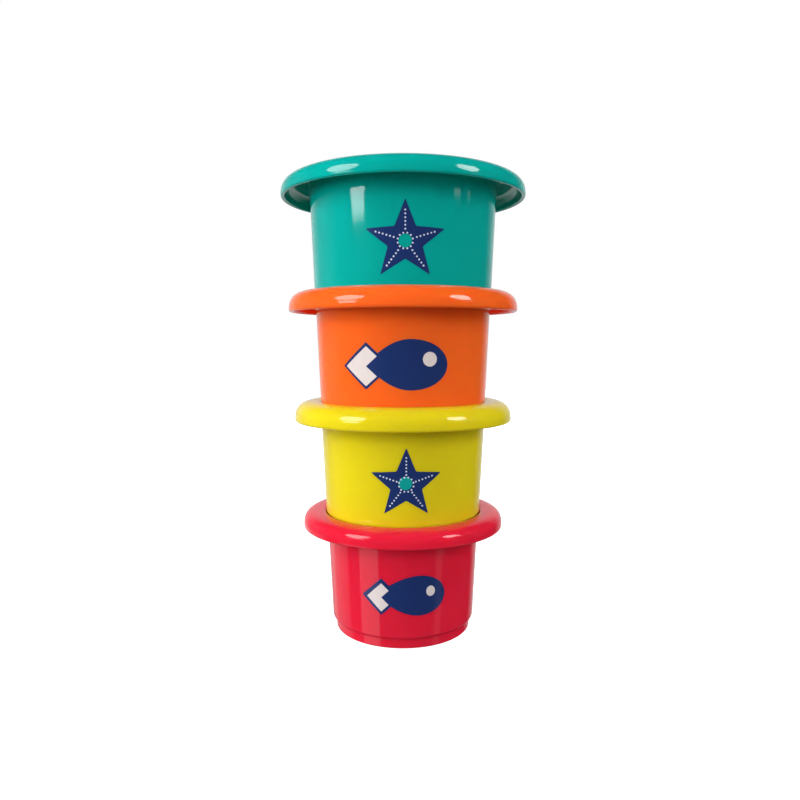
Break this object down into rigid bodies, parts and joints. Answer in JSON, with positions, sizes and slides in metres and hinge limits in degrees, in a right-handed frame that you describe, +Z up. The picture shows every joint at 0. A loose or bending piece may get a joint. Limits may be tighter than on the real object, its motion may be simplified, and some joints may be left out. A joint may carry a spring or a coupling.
{
  "type": "stacking cup tower",
  "caption": "Tower of round nesting cups with wide domed rims, standing rim up, each foot seated in the mouth below; the biggest cup is on top.",
  "frame": {"origin": "on the floor, at the centre of the bottom cup's foot ring", "axes": "+Z up along the axis that all the cups share; the printed pictures face -Y; +X is to the right of someone who looks at the pictures"},
  "size_m": [0.104, 0.104, 0.1943],
  "materials": {
    "red_plastic": "glossy moulded polypropylene",
    "yellow_plastic": "glossy moulded polypropylene",
    "orange_plastic": "glossy moulded polypropylene",
    "teal_plastic": "glossy moulded polypropylene",
    "navy_ink": "pad-printed ink",
    "white_ink": "pad-printed ink",
    "teal_ink": "pad-printed ink"
  },
  "bodies": {
    "red_cup": {"red_cup": "red_plastic"},
    "yellow_cup": {"yellow_cup": "yellow_plastic"},
    "orange_cup": {"orange_cup": "orange_plastic"},
    "teal_cup": {"teal_cup": "teal_plastic"}
  },
  "joints": [
    {"name": "yellow_cup_lift", "type": "slide", "parent": "red_cup", "child": "yellow_cup", "axis": [0, 0, 1], "range_m": [0, 0.06]},
    {"name": "orange_cup_lift", "type": "slide", "parent": "yellow_cup", "child": "orange_cup", "axis": [0, 0, 1], "range_m": [0, 0.06]},
    {"name": "teal_cup_lift", "type": "slide", "parent": "orange_cup", "child": "teal_cup", "axis": [0, 0, 1], "range_m": [0, 0.06]}
  ]
}
